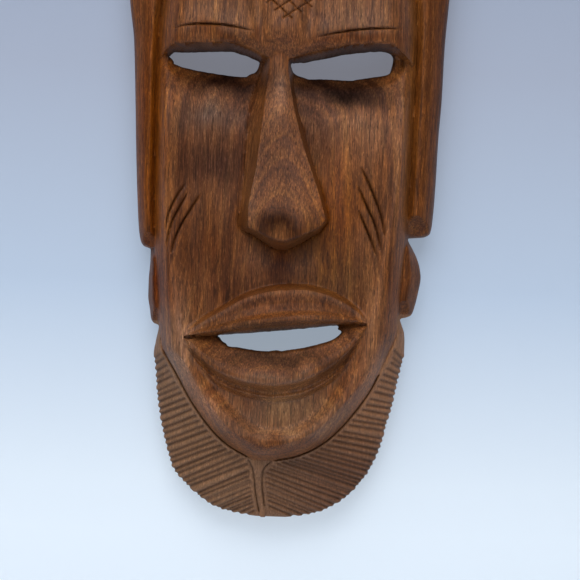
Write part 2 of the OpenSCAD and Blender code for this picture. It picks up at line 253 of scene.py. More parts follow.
def ribs():
    """The beard's gouge cuts: from the incised line and the stem out to the edge."""
    r = np.random.default_rng(5)
    cuts = []
    left = catmull(INCISED + STEM_L[1:], 6)
    right = catmull([(54.5, 131), (52, 138)] + INCISED_R[::-1] + STEM_R[1:], 6)
    for side, path, line, n, m, ang in (
            (-1, left, 0.79, 24, 10, [(0, 42), (0.1, 34), (0.25, 26), (0.5, 23), (0.7, 26), (1, 27)]),
            (1, right, 0.77, 25, 11, [(0, 46), (0.06, 34), (0.15, 20), (0.28, 11), (0.45, 11), (0.62, 16), (0.8, 20), (1, 22)])):
        s = np.concatenate([[0], np.cumsum(np.linalg.norm(np.diff(path, axis=0), axis=1))])
        share = [(k + 0.5) / n * line for k in range(n)] + [line + (k + 0.5) / m * (1 - line) for k in range(m)]
        for t in share:
            t = t + 0.0035 * r.uniform(-1, 1)
            a = np.array([np.interp(t * s[-1], s, path[:, 0]), np.interp(t * s[-1], s, path[:, 1])])
            g = math.radians(np.interp(t, [q[0] for q in ang], [q[1] for q in ang]) + 1.0 * r.uniform(-1, 1))
            d = np.array([side * math.cos(g), math.sin(g)])
            a = a + d * (0.8 + 1.0 * r.uniform())
            b = a + d * 60
            mid = a + d * 14 + np.array([0, 0.4 * r.uniform(-1, 1)])
            fine = t > line
            cuts.append((np.array([a, mid, b]), (0.92 if fine else 1.12) + 0.15 * r.uniform(-1, 1), 1.05 if fine else 1.35))
    return cuts


# ---------------------------------------------------------------- fields
def outline():
    def side(tab):
        v = np.array([t[0] for t in tab], float)
        q = np.unique(np.concatenate([v] + [v[:-1] + np.diff(v) * k / 4 for k in (1, 2, 3)]))
        return q, pchip(tab, q)
    return side(OL), side(OR)


(OLV, OLX), (ORV, ORX) = outline()
OUT = np.vstack([np.column_stack([OLX, OLV]), np.column_stack([ORX, ORV])[::-1]])
FACE_P = catmull(FACE, 4, closed=True)
CREST_P = catmull(CREST, 4)
HOLES = [catmull(h, 3, closed=True) for h in (EYE_L, EYE_R, MOUTH)]
RIBS = ribs()


def inside(x, v, poly):
    """Even-odd test of points in a polygon."""
    c = np.zeros(x.shape, bool)
    px, pv = poly[:, 0], poly[:, 1]
    qx, qv = np.roll(px, -1), np.roll(pv, -1)
    idx = np.nonzero((x >= px.min()) & (x <= px.max()) & (v >= pv.min()) & (v <= pv.max()))[0]
    a, b = x[idx], v[idx]
    m = np.zeros(idx.shape, bool)
    for i in range(len(px)):
        if pv[i] == qv[i]:
            continue
        k = (pv[i] > b) != (qv[i] > b)
        m ^= k & (a < (qx[i] - px[i]) * (b - pv[i]) / (qv[i] - pv[i]) + px[i])
    c[idx] = m
    return c


def rib_field(x, v):
    """Depth of the beard's cuts and the distance to the nearest one."""
    dep = np.zeros(x.shape)
    near = np.full(x.shape, 9.0)
    for pts, k, w in RIBS:
        d, t, _, _ = line_dist(x, v, pts, 2.5)
        m = d < 2.4
        e = k * (0.5 + 0.5 * np.cos(np.pi * np.clip(d / w, 0, 1))) * ss(0, 0.02, t)
        dep = np.where(m, np.maximum(dep, e), dep)
        near = np.minimum(near, d)
    return dep, near


def wood_sdf(x, v, rib=None):
    """Distance inside the wood: positive inside, with the openings cut out."""
    sg = (x > np.interp(v, OLV, OLX)) & (x < np.interp(v, ORV, ORX)) & (v > OLV[0]) & (v < OLV[-1])
    d = line_dist(x, v, OUT, closed=True)[0]
    d = np.where(sg, d, -d)
    if rib is not None:
        d = d - 0.55 * rib * (d < 3)
    hole = np.full(x.shape, 50.0)
    for i, h in enumerate(HOLES):
        e = line_dist(x, v, h, 12, closed=True)[0]
        e = np.where(inside(x, v, h), -e, e)
        rag = 0.1 * noise(x, v, 2.4, 40 + i) + 0.08 * noise(x, v, 0.9, 50 + i)
        if i == 0:
            rag = rag + 0.5 * ss(-50, -56, x) * noise(x, v, 1.1, 60)
        hole = np.minimum(hole, e + rag)
    return d, hole


def heights(x, v):
    """Relief in mm from the flat back, and the paint masks that go with it."""
    rib, near = rib_field(x, v)
    dO, dH = wood_sdf(x, v, rib)
    dO, dH = np.maximum(dO, 0), np.maximum(dH, 0)
    dE = line_dist(x, v, FACE_P, closed=True)[0]
    infa = inside(x, v, FACE_P)
    dC = line_dist(x, v, CREST_P)[0]
    crest_in = inside(x, v, CREST_P) | ((v < 6) & infa & (np.abs(x + 1) < 56))
    nose_mid = pchip(NH, v)

    # -- outside the face: columns, ear lobes, beard, crown
    q = dO / (dO + dE + 0.01)
    e = np.where(x < 0, 89.0, 79.5)
    f = np.where(x < 0, 125.6, 118.6)
    col = 12.8 + 8.7 * np.sin(0.5 * np.pi * np.clip(q * 1.25, 0, 1)) - 2.3 * ss(0.8, 1.0, q)
    fac = np.where(x < 0, 7.0, 9.5)
    bevel = 20.5 - (v - (e - fac)) * 0.75 - 1.2 * np.sin(np.pi * np.clip((v - (e - fac)) / fac, 0, 1))
    col = np.where(v > e - fac, smin(col, bevel, 0.8), col)
    ear = 11 + 6.8 * ss(0, 0.75, q)
    ear = mix(11.0, ear, ss(e, e + 6, v))
    earb = 17.2 - (v - (f - 8)) * 0.75 - 0.8 * np.sin(np.pi * np.clip((v - (f - 8)) / 8, 0, 1))
    ear = np.where(v > f - 8, smin(ear, earb, 0.8), ear)
    beard = 8.2 + 11.3 * q ** 0.75
    beard = mix(12.5 + 4 * q, beard, ss(f - 1, f + 14, v))
    h = np.where(v < e, col, np.where(v < f, ear, beard))
    # crown above the arch
    g = 13 + 12.5 * np.sin(0.5 * np.pi * np.clip(dO / 24, 0, 1)) - 3.0 * ss(6, 0, dE)
    up = ss(-22, -52, v)
    h = mix(h, g, up)
    valley = mix(18.2, 19.8, ss(128, 150, v))
    valley = mix(valley, 22.5, ss(-25, -60, v)) - 0.3
    side_h = valley + (h - valley) * (1 - np.exp(-dE / 0.8))

    # -- the face
    rim = pchip(RIMH, v)
    t = dE / (dE + dC + 1e-6)
    roll = np.sin(0.5 * np.pi * np.clip(t, 0, 1)) ** 0.9
    wall = valley + (rim - valley) * roll
    dish = pchip(DISH, v)
    far = np.clip(dC, 0, 40)
    inner = rim - dish * ss(0, 15, far) - 0.5 * ss(0, 3, far) * ss(20, 60, v)
    # a gouged line just inside the chin's rim, and the chin swelling from it
    chin = rim - 3.9 * ss(0.5, 8.0, far) + 0.9 * np.exp(-(((x + 1) / 17) ** 2 + ((v - 164) / 9) ** 2))
    inner = mix(inner, chin, ss(138, 158, v))
    # the cheek swells again beside the nose, and over the lip
    inner = inner + 1.9 * np.exp(-(((np.abs(x + 1) - 27) / 9) ** 2 + ((v - 72) / 26) ** 2))
    inner = inner + 1.2 * np.exp(-(((x + 1) / 24) ** 2 + ((v - 99) / 9) ** 2))
    face = np.where(crest_in, inner, wall)
    # eye sockets: deep by the nose, shallower towards the temples
    ln = mix(46.0, 20.0, ss(8, 52, np.abs(x + 5)))
    sock = 4.6 * (1 - ss(0, 1, (v + 6) / ln)) * ss(0, 9, dC)
    lid = 1.3 * (1 - ss(0, 6, dH)) * (v < 40) * ss(-2, 3, v)
    face = face - np.where(crest_in, sock, 0) * (v > -12) - np.where(infa, lid, 0)
    # forehead: two soft brows and a low ridge between them
    fr = 1 - (1 - np.clip(dE / 15, 0, 1)) ** 2.2
    up = np.clip(-v - 5, 0, 60)
    rg = np.abs(x + 2.5)
    fore = mix(valley, 33.8, fr) + 0.7 * np.exp(-((v + 14) / 6) ** 2) * ss(6, 18, dE)
    fore = fore + ss(-4, -14, v) * (0.7 * np.exp(-(rg / (6 + 0.12 * up)) ** 2) - 1.5 * np.exp(-((rg - 10 - 0.13 * up) / 4.0) ** 2)) * ss(4, 20, dE)
    fore = fore - 1.8 * np.exp(-((x + 4) / 9) ** 2 - ((v + 3) / 7) ** 2)
    eb = pchip(EB, x)
    fore = fore - 3.4 * (np.exp(-((x - 10) / 11) ** 2) + np.exp(-((x + 17) / 8) ** 2)) * np.exp(-((v - eb) / 4.5) ** 2)
    fore = fore - 0.6 * np.exp(-((v - eb + 0.6) / 0.9) ** 2)
    kb = ss(eb - 0.8, eb + 0.4, v)
    face = mix(fore, np.minimum(face, fore), kb)

    # nose
    a, b, c, d = (pchip(tab, v) for tab in (NLF, NLR, NRR, NRF))
    base = face - 0.3
    crown = nose_mid - 0.9 * np.abs(2 * (x - b) / (c - b) - 1) ** 2.2
    lt = np.clip((x - a) / (b - a), 0, 1)
    rt = np.clip((d - x) / (d - c), 0, 1)
    top = nose_mid - 0.9
    nose = np.where(x < b, mix(base, top, 0.55 * lt ** 2 + 0.45 * lt), np.where(x > c, mix(base, top, rt), crown))
    w = pchip(NB, x) - v
    tw = 1.6 + 2.6 * np.exp(-((x - 0.5) / 11) ** 2)
    tip = np.sqrt(np.clip(1 - (1 - np.clip((w + 0.2) / tw, 0, 1)) ** 2, 0, 1))
    nose = mix(base, nose, tip) + 0.0
    on = (v > -14) & (w > -0.3) & (x > a) & (x < d)
    nose_k = np.where(on, ss(-14, -2, v), 0)
    face = np.where(on, mix(face, np.maximum(nose, face - 0.4), nose_k), face)
    # crease round the foot of the nose
    dN = np.minimum(np.abs(x - a), np.abs(x - d))
    cr = np.exp(-(dN / 1.2) ** 2) * ss(4, 20, v) * (1 - ss(70, 84, v))
    face = face - 0.25 * cr
    dB = np.abs(w)
    face = face - 0.6 * np.exp(-(dB / 1.5) ** 2) * (np.abs(x) < 21) * (v > 72)

    # lips
    u, s, lc, lb = (pchip(tab, x) for tab in (UT, SL, LC, LB))
    inx = (x > -44.5) & (x < 41)
    xm = (x + 1.75) / 42.75
    k = np.clip(1 - np.abs(xm) ** 3.2, 0, 1) * inx
    muz = face
    tt = np.clip((v - u) / (s - u + 1e-6), 0, 1)
    prof = np.interp(tt, [0, 0.08, 0.30, 0.52, 0.66, 0.76, 0.88, 1.0],
                     [34.3, 34.2, 33.3, 34.1, 36.2, 36.7, 35.0, 31.2])
    bulge = 0.9 * np.exp(-((x - 3) / 15) ** 2) * np.exp(-((tt - 0.7) / 0.15) ** 2)
    lip_u = mix(muz, prof + bulge, k ** 0.8)
    step = np.clip((v - (u - 3.2)) / 3.2, 0, 1)
    above = np.maximum(muz, mix(muz, mix(muz, 34.3, k ** 0.8), step ** 1.6))
    tl = np.clip((v - s) / (lc - s + 1e-6), 0, 1)
    low1 = np.interp(tl, [0, 0.12, 0.4, 0.75, 0.92, 1.0], [25.2, 27.2, 31.0, 35.6, 36.7, 36.6])
    tb = np.clip((v - lc) / (lb - lc + 1e-6), 0, 1)
    low2 = np.interp(tb, [0, 0.15, 0.45, 0.68, 0.8, 0.93, 1.0], [36.6, 35.8, 31.6, 29.6, 29.9, 31.0, 30.8])
    kl = k ** 0.7
    low1 = mix(np.minimum(muz, 27.5), low1, kl)
    low1 = np.where(v - s < 1.2, np.minimum(low1, 27.0), low1)
    low2 = mix(muz, low2, kl)
    after = np.clip(1 - (v - lb) / 3.0, 0, 1)
    below = mix(muz, mix(muz, 30.8, kl), after ** 1.3)
    lips = np.where(v < u, above, np.where(v < s, lip_u, np.where(v < lc, low1, np.where(v < lb, low2, below))))
    face = np.where(inx & (v > u - 3.2) & (v < lb + 3.0), lips, face)

    h = np.where(infa, face, side_h)
    # beard ribs and stem
    in_beard = (~infa) & (v > f - 2)
    dS = np.minimum(line_dist(x, v, catmull(STEM_L, 6), 8)[0], line_dist(x, v, catmull(STEM_R, 6), 8)[0])
    sl_x, sr_x = np.interp(v, [187.5, 192, 197, 205, 214, 219], [-13, -10.6, -9.5, -8.6, -6.8, -6]), \
        np.interp(v, [188.5, 191.5, 195, 201.5, 211, 219], [-1, -4.4, -5.5, -5.5, -4.2, -3.6])
    in_stem = in_beard & (x > sl_x) & (x < sr_x) & (v > 183)
    h = np.where(in_beard & ~in_stem, h - rib * ss(f - 2, f + 10, v), h)
    stem_h = mix(19.3, 10.5, ss(188, 216, v)) + 0.5
    h = np.where(in_stem, np.maximum(stem_h, h), h)

    # cuts, and a mask of them that later sets painted shade in the grooves
    cut = np.zeros(x.shape)
    for pts, wd, dp in ([(c, 0.75, 1.3) for c in SCARS] + [(c, 0.8, 1.5) for c in BROWS]
                        + [(c, 0.65, 0.8) for c in LATTICE]):
        pl = catmull(pts, 6) if len(pts) > 2 else np.array(pts, float)
        d0, t0, _, _ = line_dist(x, v, pl, 3)
        taper = np.clip(np.sin(np.pi * np.clip(t0, 0.0, 1.0)), 0, 1) ** 0.45 if len(pts) > 2 else 1.0
        m = np.clip(1 - d0 / wd, 0, 1) * taper
        h = h - dp * m
        cut = np.maximum(cut, m if dp > 1 else 0.25 * m)
    for pts, dp in ((INCISED, 1.3), (INCISED_R, 1.2), (STEM_L, 0.9), (STEM_R, 0.9)):
        d0, t0, _, _ = line_dist(x, v, catmull(pts, 6), 3)
        m = np.clip(1 - d0 / 0.65, 0, 1) * ss(0, 0.04, t0)
        h = h - dp * m
        cut = np.maximum(cut, m * 0.75)

    # crown: an arched line and short flutes above the forehead
    arch = np.abs(dE - 5.5)
    ka = ss(-30, -44, v) * (~infa)
    m = np.clip(1 - arch / 0.8, 0, 1) * ka
    h = h - 1.0 * m
    cut = np.maximum(cut, m * 0.8)
    ang = np.arctan2(x, -(v + 20))
    fl = 0.5 + 0.5 * np.cos(ang * 46)
    kf = ss(7.5, 9.5, dE) * ss(1.0, 4.0, dO) * ss(-34, -48, v) * (~infa)
    h = h - 0.9 * (1 - fl) ** 1.5 * kf

    # hand-worked surface
    wob = 0.22 * noise(x, v, (9, 17), 1) + 0.10 * noise(x, v, (4, 9), 2) + 0.03 * noise(x, v, (1.5, 6), 3)
    h = h + wob * np.clip(dO / 3, 0, 1)

    # rounded outer edge, and a thin worn edge round the openings
    r = np.where(v > 136, 1.3, 2.6)
    h = h - (r - np.sqrt(np.clip(r * r - (r - np.minimum(dO, r)) ** 2, 0, None)))
    r = 0.9
    h = h - (r - np.sqrt(np.clip(r * r - (r - np.minimum(dH, r)) ** 2, 0, None)))
    return h, dict(dO=dO, dH=dH, cut=cut, infa=infa, beard=in_beard, rib=rib, dE=dE, dC=dC, near=near)


def backs(x, v, h, dO, dH):
    """Depth of the hollow at the back."""
    r = (np.abs((x + 1) / 54) ** 2.8 + np.abs((v - 74) / 110) ** 2.8) ** (1 / 2.8)
    wall = mix(2.0, 5.0, ss(0.5, 9, dH))
    b = np.maximum(np.minimum(27 * ss(0, 0.26, 1 - r), h - wall), (h - wall) * (1 - ss(1, 11, dH)))
    b = np.maximum(b, 0)
    gouge = 0.55 * np.abs(np.sin(np.pi * (x + 1.8 * noise(x, v, (9, 22), 8)) / 6.5)) + 0.25 * noise(x, v, (5, 9), 9)
    b = b - gouge * ss(1.5, 6, b)
    # seat for the ring
    dx = np.abs(x)
    dv = np.maximum(np.abs(v + 85) - 8, 0)
    seat = 17 - np.hypot(dx, dv)
    b = np.where(seat > 0, np.minimum(8.0, seat * 6), b)
    re = 1.2
    b = b + (re - np.sqrt(np.clip(re * re - (re - np.minimum(dO, re)) ** 2, 0, None)))
    return np.maximum(b, 0)


# ---------------------------------------------------------------- mesh
STEP = 0.58


def build_mask():
    xs = np.arange(-80.0, 80.01, STEP)
    vs = np.arange(-134.0, 219.01, STEP)
    nx, nv = len(xs), len(vs)
    X, V = np.meshgrid(xs, vs)
    x, v = X.ravel().copy(), V.ravel().copy()
    # pull grid points on to the crisp lines first
    lines = [catmull(c, 6) for c in SCARS + BROWS] + [np.array(c, float) for c in LATTICE]
    lines += [catmull(c, 6) for c in (INCISED, INCISED_R, STEM_L, STEM_R)]
    lines.append(np.vstack([FACE_P, FACE_P[:1]]))
    vv = np.arange(6, 78, 1.0)
    lines += [np.column_stack([pchip(t, vv), vv]) for t in (NLR, NRR, NLF, NRF)]
    xx = np.arange(-42, 39.1, 1.0)
    lines += [np.column_stack([xx, pchip(t, xx)]) for t in (UT, SL, LC)]
    xx = np.arange(-20, 20.1, 1.0)
    lines += [np.column_stack([xx, pchip(NB, xx)])]
    moved = np.zeros(x.shape, bool)
    for pl in lines:
        d, _, px, pv = line_dist(x, v, pl, 1.0)
        m = (d < 0.42 * STEP) & ~moved
        x[m], v[m] = px[m], pv[m]
        moved |= m
    rib, _ = rib_field(x, v)
    d, hole = wood_sdf(x, v, rib)
    F = np.minimum(d, hole).reshape(nv, nx)
    X, V = x.reshape(nv, nx), v.reshape(nv, nx)
    best = np.full(F.shape, 9.0)
    TX, TV = X.copy(), V.copy()

    def nominate(a, b):
        fa, fb = F[a], F[b]
        cross = (fa > 0) != (fb > 0)
        t = np.where(cross, fa / np.where(cross, fa - fb, 1), 0.5)
        cx, cv = X[a] + t * (X[b] - X[a]), V[a] + t * (V[b] - V[a])
        for sl, mv in ((a, t), (b, 1 - t)):
            near = cross & (mv <= 0.5)
            better = near & (mv < best[sl])
            best[sl] = np.where(better, mv, best[sl])
            TX[sl] = np.where(better, cx, TX[sl])
            TV[sl] = np.where(better, cv, TV[sl])
    nominate((slice(None), slice(0, -1)), (slice(None), slice(1, None)))
    nominate((slice(0, -1), slice(None)), (slice(1, None), slice(None)))
    snapped = best < 1
    F = np.where(snapped, 0.0, F)
    X, V = TX, TV
    x, v = X.ravel(), V.ravel()
    h, info = heights(x, v)
    b = backs(x, v, h, info["dO"], info["dH"])
    on = snapped.ravel()
    f = F.ravel()
    idx = np.arange(nx * nv).reshape(nv, nx)
    A, B, C, D = idx[:-1, :-1].ravel(), idx[:-1, 1:].ravel(), idx[1:, 1:].ravel(), idx[1:, :-1].ravel()
    q = np.column_stack([A, B, C, D])  # anticlockwise seen from behind, v down
    neg = f[q] < 0
    zero = on[q]
    full = (~neg.any(1)) & (~zero.all(1))
    tri_corner = (neg.sum(1) == 1)
    quads = q[full]
    # split each quad along the diagonal that runs along the relief
    hh = h[quads]
    ac = np.abs(hh[:, 0] - hh[:, 2]) <= np.abs(hh[:, 1] - hh[:, 3])
    t1 = np.where(ac[:, None], quads[:, [0, 1, 2]], quads[:, [0, 1, 3]])
    t2 = np.where(ac[:, None], quads[:, [0, 2, 3]], quads[:, [1, 2, 3]])
    tris = [t1, t2]
    for k in range(4):
        m = tri_corner & neg[:, k]
        p, o, n = (k - 1) % 4, (k + 2) % 4, (k + 1) % 4
        m &= zero[:, p] & zero[:, n]
        tris.append(q[m][:, [n, o, p]])
    tris = np.vstack(tris)
    area = 0.5 * ((x[tris[:, 1]] - x[tris[:, 0]]) * (v[tris[:, 2]] - v[tris[:, 0]])
                  - (x[tris[:, 2]] - x[tris[:, 0]]) * (v[tris[:, 1]] - v[tris[:, 0]]))
    keep = np.abs(area) > 1e-5
    flip = area < 0
    tris[flip] = tris[flip][:, ::-1]
    # flat slivers are all kept
    del keep
    used = np.unique(tris)
    remap = np.full(nx * nv, -1)
    remap[used] = np.arange(len(used))
    tris = remap[tris]
    x, v, h, b = x[used], v[used], h[used], b[used]
    info = {k: w[used] for k, w in info.items()}
    n = len(x)
    h = np.maximum(h, b + 1.2)
    # boundary edges, for the walls
    e = np.vstack([tris[:, [0, 1]], tris[:, [1, 2]], tris[:, [2, 0]]])
    key = e[:, 0].astype(np.int64) * n + e[:, 1]
    rev = e[:, 1].astype(np.int64) * n + e[:, 0]
    bd = e[~np.isin(key, rev)]
    z = -103.0 - v
    front = np.column_stack([x, -h, z])
    back = np.column_stack([x, -b, z])
    co = np.vstack([front, back]) / 1000.0
    # area > 0 in (x, v down) faces the viewer at -Y
    ff = tris
    fb = tris[:, ::-1] + n
    w1 = np.column_stack([bd[:, 1], bd[:, 0], bd[:, 0] + n])
    w2 = np.column_stack([bd[:, 1], bd[:, 0] + n, bd[:, 1] + n])
    faces = np.vstack([ff, fb, w1, w2])
    return co, faces, n, x, v, h, b, info, bd


co, faces, nfront, gx, gv, gh, gb, info, bd = build_mask()
# the visual stays inside the CAD box
lo, hi = np.array(cad_lo), np.array(cad_hi)
co = np.clip(co, lo, hi)


def make_mesh(name, co, faces):
    me = bpy.data.meshes.new(name)
    me.vertices.add(len(co))
    me.vertices.foreach_set("co", np.ascontiguousarray(co, dtype=np.float32).ravel())
    me.loops.add(faces.size)
    me.loops.foreach_set("vertex_index", np.ascontiguousarray(faces, dtype=np.int32).ravel())
    me.polygons.add(len(faces))
    me.polygons.foreach_set("loop_start", np.arange(0, faces.size, 3, dtype=np.int32))
    me.polygons.foreach_set("use_smooth", np.ones(len(faces), dtype=bool))
    me.update(calc_edges=True)
    me.validate()
    return me


me = make_mesh("carving", co, faces)
me.set_sharp_from_angle(angle=math.radians(42))
carving = bpy.data.objects.new("carving", me)
bpy.context.scene.collection.objects.link(carving)


# ------------------------------------------------- paint masks on points
def blob(cx, cv, rx, rv, p=2.0):
    wx = gx + 3.0 * noise(gx, gv, (7, 16), 21)
    wv = gv + 4.0 * noise(gx, gv, (7, 16), 22)
    return np.exp(-(np.abs((wx - cx) / rx) ** p + np.abs((wv - cv) / rv) ** p))


# patches of darker heartwood and golden sapwood, mixed with painted shade (eye sockets under the brows, under the
# brows' edges, under the nose, the lower lip under the upper lip) and painted cool sheen (forehead, bridge of the nose,
# upper cheeks, crest of the lower lip, chin, sides of the rim): x, v, reach in x and v, tint
WOOD_SHADE_SHEEN_PATCHES = [
    (-31, -21, 22, 12, (1.05, 1.2, 1.6)), (31, -22, 22, 12, (1.0, 1.2, 1.9)),
    (-30, -10.5, 24, 3.5, (0.64, 0.54, 0.31)), (30, -11.5, 24, 3.5, (0.64, 0.50, 0.31)),
    (-30, 8.0, 23, 7, (0.14, 0.14, 0.24)), (26, 10.0, 23, 7, (0.15, 0.155, 0.28)),
    (-19, 18, 6, 10, (0.6, 0.6, 0.8)), (12, 22, 6, 12, (0.55, 0.58, 0.85)),
    (-37, 25, 14, 8, (0.62, 0.86, 1.9)), (-34, 48, 17, 15, (0.38, 0.40, 0.75)), (-36, 88, 15, 19, (0.49, 0.43, 0.42)),
    (-4, 42, 9, 24, (0.68, 0.70, 0.84)), (-1, 77, 13, 7, (0.33, 0.30, 0.30)), (-3, 13, 6, 9, (1.45, 1.6, 2.0)),
    (-15, 55, 3.5, 22, (1.1, 1.2, 1.35)),
    (36, 31, 15, 9, (1.2, 1.5, 2.6)), (25, 70, 9, 22, (1.1, 0.88, 0.38)), (44, 72, 9, 20, (0.62, 0.64, 0.8)),
    (15, 36, 5, 12, (0.6, 0.62, 0.95)),
    (32, 100, 14, 10, (0.74, 0.82, 0.86)), (0, 97, 8, 9, (0.68, 0.52, 0.42)), (-25, 106, 13, 9, (0.61, 0.57, 0.68)),
    (-1, 113, 34, 4.0, (0.66, 0.62, 0.68)), (-10, 120.5, 9, 2.5, (1.25, 1.1, 0.7)),
    (-2, 137.5, 32, 5, (0.32, 0.36, 0.52)), (-2, 147.5, 20, 2.5, (1.0, 1.3, 2.4)), (-2, 152, 22, 2.5, (1.2, 1.35, 1.7)),
    (8, 166, 20, 8, (1.15, 1.6, 2.7)), (-2, 125.5, 36, 4.5, (0.48, 0.52, 0.62)), (0, 179, 22, 4, (0.72, 0.64, 0.48)),
    (-28, -28, 26, 15, (0.84, 0.84, 0.86)), (28, -28, 26, 15, (0.86, 0.88, 1.0)), (24, 78, 10, 20, (0.9, 0.9, 0.72)),
    (-30, 50, 24, 14, (0.85, 0.86, 1.0)), (-1, 76, 16, 8, (0.76, 0.75, 0.72)), (26, 12, 22, 6, (0.5, 0.58, 0.9)), (-30, 9, 20, 5, (0.66, 0.7, 0.95)), (-15, 55, 3.5, 24, (1.2, 1.25, 1.3)),
    (-33, -4.2, 24, 2.2, (0.55, 0.5, 0.42)), (27, -5.8, 25, 2.4, (0.55, 0.5, 0.42)), (-2, 120.5, 27, 2.6, (0.74, 0.75, 0.85)),
    (-3, 13, 6, 9, (1.28, 1.4, 1.75)), (-1, 83, 9, 5, (0.74, 0.74, 0.8)), (-2, 78, 15, 5, (0.94, 0.95, 0.95)),
    (-33, 29, 16, 6, (0.9, 1.0, 1.3)), (26, 13, 20, 4, (0.75, 0.78, 0.92)), (28, 60, 12, 12, (1.0, 0.98, 0.6)), (22, 88, 10, 16, (0.95, 0.92, 0.6)), (-33, 161, 8, 10, (1.4, 1.5, 1.9)), (-14, 168, 9, 8, (0.85, 0.95, 1.3)),
    (-47, 139, 5, 26, (1.42, 1.9, 3.4)), (44, 136, 4, 24, (1.3, 1.5, 2.1)), (-58, 105, 6, 16, (0.72, 0.46, 0.2)), (53, 105, 6, 16, (0.84, 0.72, 0.48)),
    (-63, 40, 9, 70, (0.95, 0.74, 0.2)), (62, 10, 7, 50, (1.0, 1.0, 0.86)), (48, 160, 12, 22, (1.2, 1.15, 1.1)),
]
# per-point colour multiplier: wood patches, painted shade and painted highlights
colour_shade_sheen = np.ones((nfront, 3))
for cx, cv, rx, rv, c in WOOD_SHADE_SHEEN_PATCHES:
    m = blob(cx, cv, rx, rv)[:, None]
    colour_shade_sheen *= 1 + m * (np.array(c) - 1)
# painted highlight, paler and bluer, along the crest that runs round the face
crest_highlight = np.exp(-(info["dC"] / 2.4) ** 2) * (gv > 14) * (gv < 176) * info["infa"] * (0.8 + 0.4 * noise(gx, gv, (6, 18), 33))
colour_shade_sheen *= 1 + np.clip(crest_highlight, 0, 1)[:, None] * np.array([0.22, 0.34, 0.75])
# painted highlight along the top edge of the upper lip, paler and bluer
lip_edge_highlight = np.exp(-((gv - pchip(UT, gx) - 0.7) / 1.1) ** 2) * (gx > -44) * (gx < 41)
colour_shade_sheen *= 1 + lip_edge_highlight[:, None] * np.array([0.35, 0.5, 1.1])
cols = (~info["infa"]) & (gv < 126)
cut = info["cut"]
# painted shade in the bottoms of the beard's ribs
rib_groove_shade = info["rib"] * info["beard"]
edge_wear = np.clip(1 - info["dO"] / 1.4, 0, 1)
# painted shade at the edges of the openings
hole_edge_shade = np.clip(1 - info["dH"] / 1.3, 0, 1)


def attr(name, front, back):
    a = me.attributes.new(name, "FLOAT_COLOR", "POINT")
    buf = np.ones((2 * nfront, 4), dtype=np.float32)
    buf[:nfront, :3] = np.column_stack(front)
    buf[nfront:, :3] = np.column_stack(back)
    a.data.foreach_set("color", buf.ravel())


zero = np.zeros(nfront)
one = np.ones(nfront)
attr("colour_shade_sheen", colour_shade_sheen.T, (one * 1.5, one * 1.45, one * 1.3))
gloss = np.clip(0.5 * colour_shade_sheen[:, 1], 0.04, 0.6) * np.where(cols, 0.6, 1.0) * (1 - 0.8 * np.clip(cut + hole_edge_shade, 0, 1))
attr("tone", (cols * 1.0, gloss, zero), (zero, one * 0.25, zero))
# painted shade in the cuts, round the openings and at the rib bottoms; then the beard's duller finish
attr("shade_and_matte", (np.clip(np.maximum(cut, 0.75 * hole_edge_shade), 0, 1), np.clip(rib_groove_shade, 0, 1), info["beard"] * 1.0),
     (np.clip(hole_edge_shade, 0, 1), zero, one))


